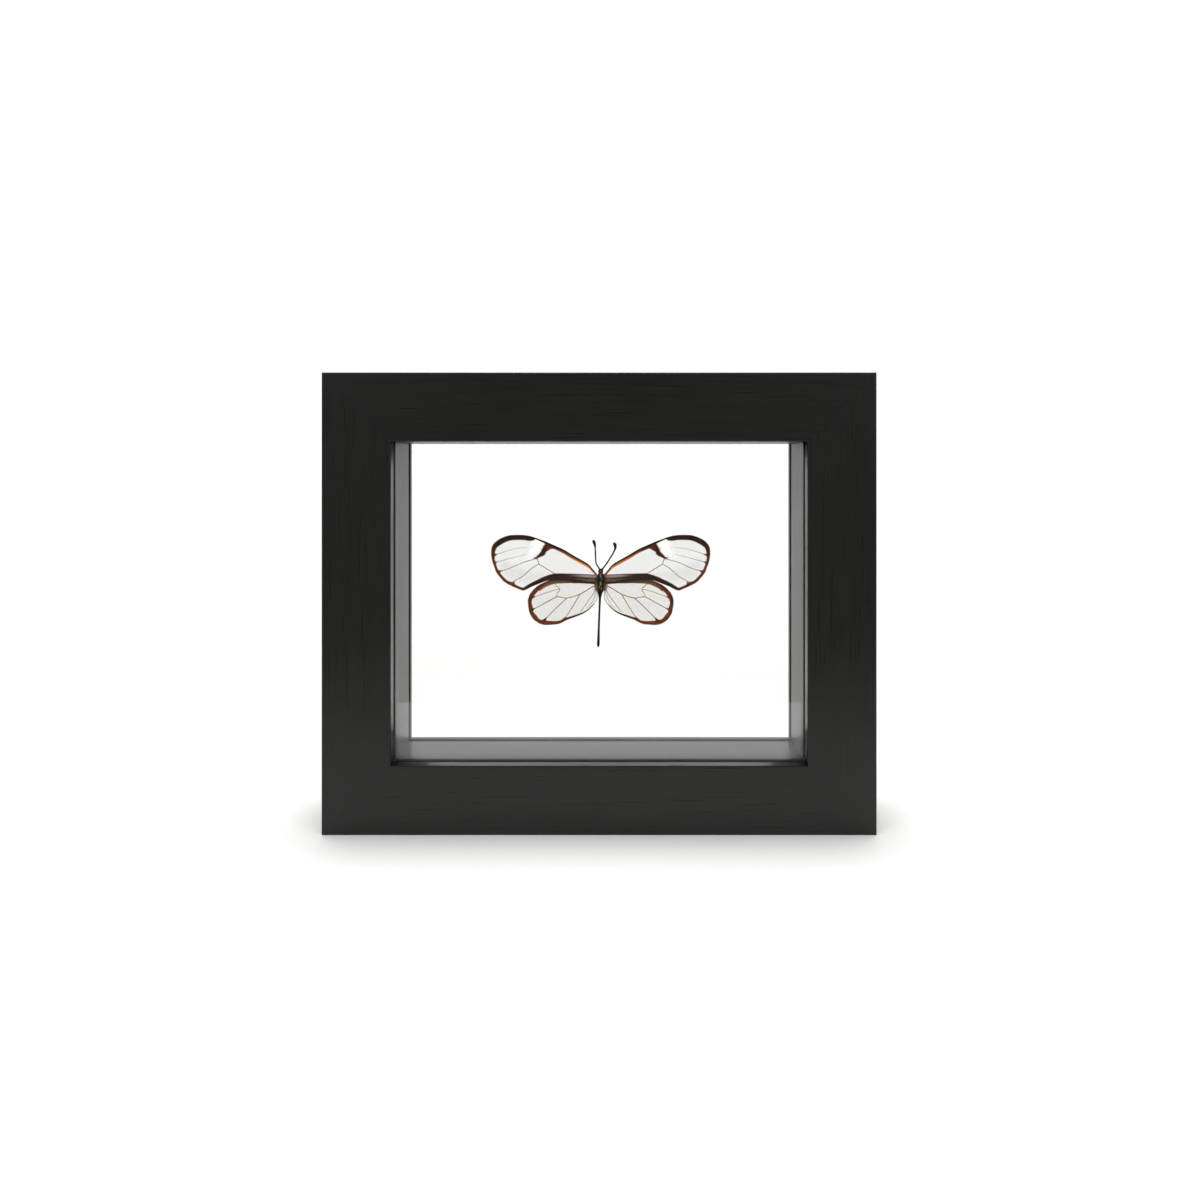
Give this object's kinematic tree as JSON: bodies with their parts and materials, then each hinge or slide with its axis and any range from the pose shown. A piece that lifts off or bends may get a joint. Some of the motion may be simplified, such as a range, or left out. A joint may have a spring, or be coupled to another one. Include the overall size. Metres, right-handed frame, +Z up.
{
  "type": "framed butterfly specimen",
  "caption": "Small black double-glass display frame, free-standing, with a clear-winged butterfly fixed between its two panes.",
  "frame": {"origin": "middle of the frame's footprint, on the surface that it stands on", "axes": "+X to the right seen from the front, +Y to the back, +Z up; the butterfly's upper side faces -Y"},
  "size_m": [0.12, 0.025, 0.1],
  "materials": {
    "black_lacquer": "satin",
    "liner_lacquer": "satin",
    "clear_glass": "gloss",
    "wing": "satin",
    "chitin": "matte",
    "clear_glue": "gloss"
  },
  "bodies": {
    "root": {"rail_bottom": "black_lacquer", "rail_top": "black_lacquer", "stile_left": "black_lacquer", "stile_right": "black_lacquer", "spacer_bottom": "liner_lacquer", "spacer_left": "liner_lacquer", "spacer_right": "liner_lacquer", "spacer_top": "liner_lacquer", "back_stop_bottom": "liner_lacquer", "back_stop_left": "liner_lacquer", "back_stop_right": "liner_lacquer", "back_stop_top": "liner_lacquer", "glass_front": "clear_glass", "glass_back": "clear_glass", "forewing_left": "wing", "forewing_right": "wing", "hindwing_left": "wing", "hindwing_right": "wing", "butterfly_body": "chitin", "antenna_left": "chitin", "antenna_right": "chitin", "glue_dot": "clear_glue"}
  },
  "joints": []
}
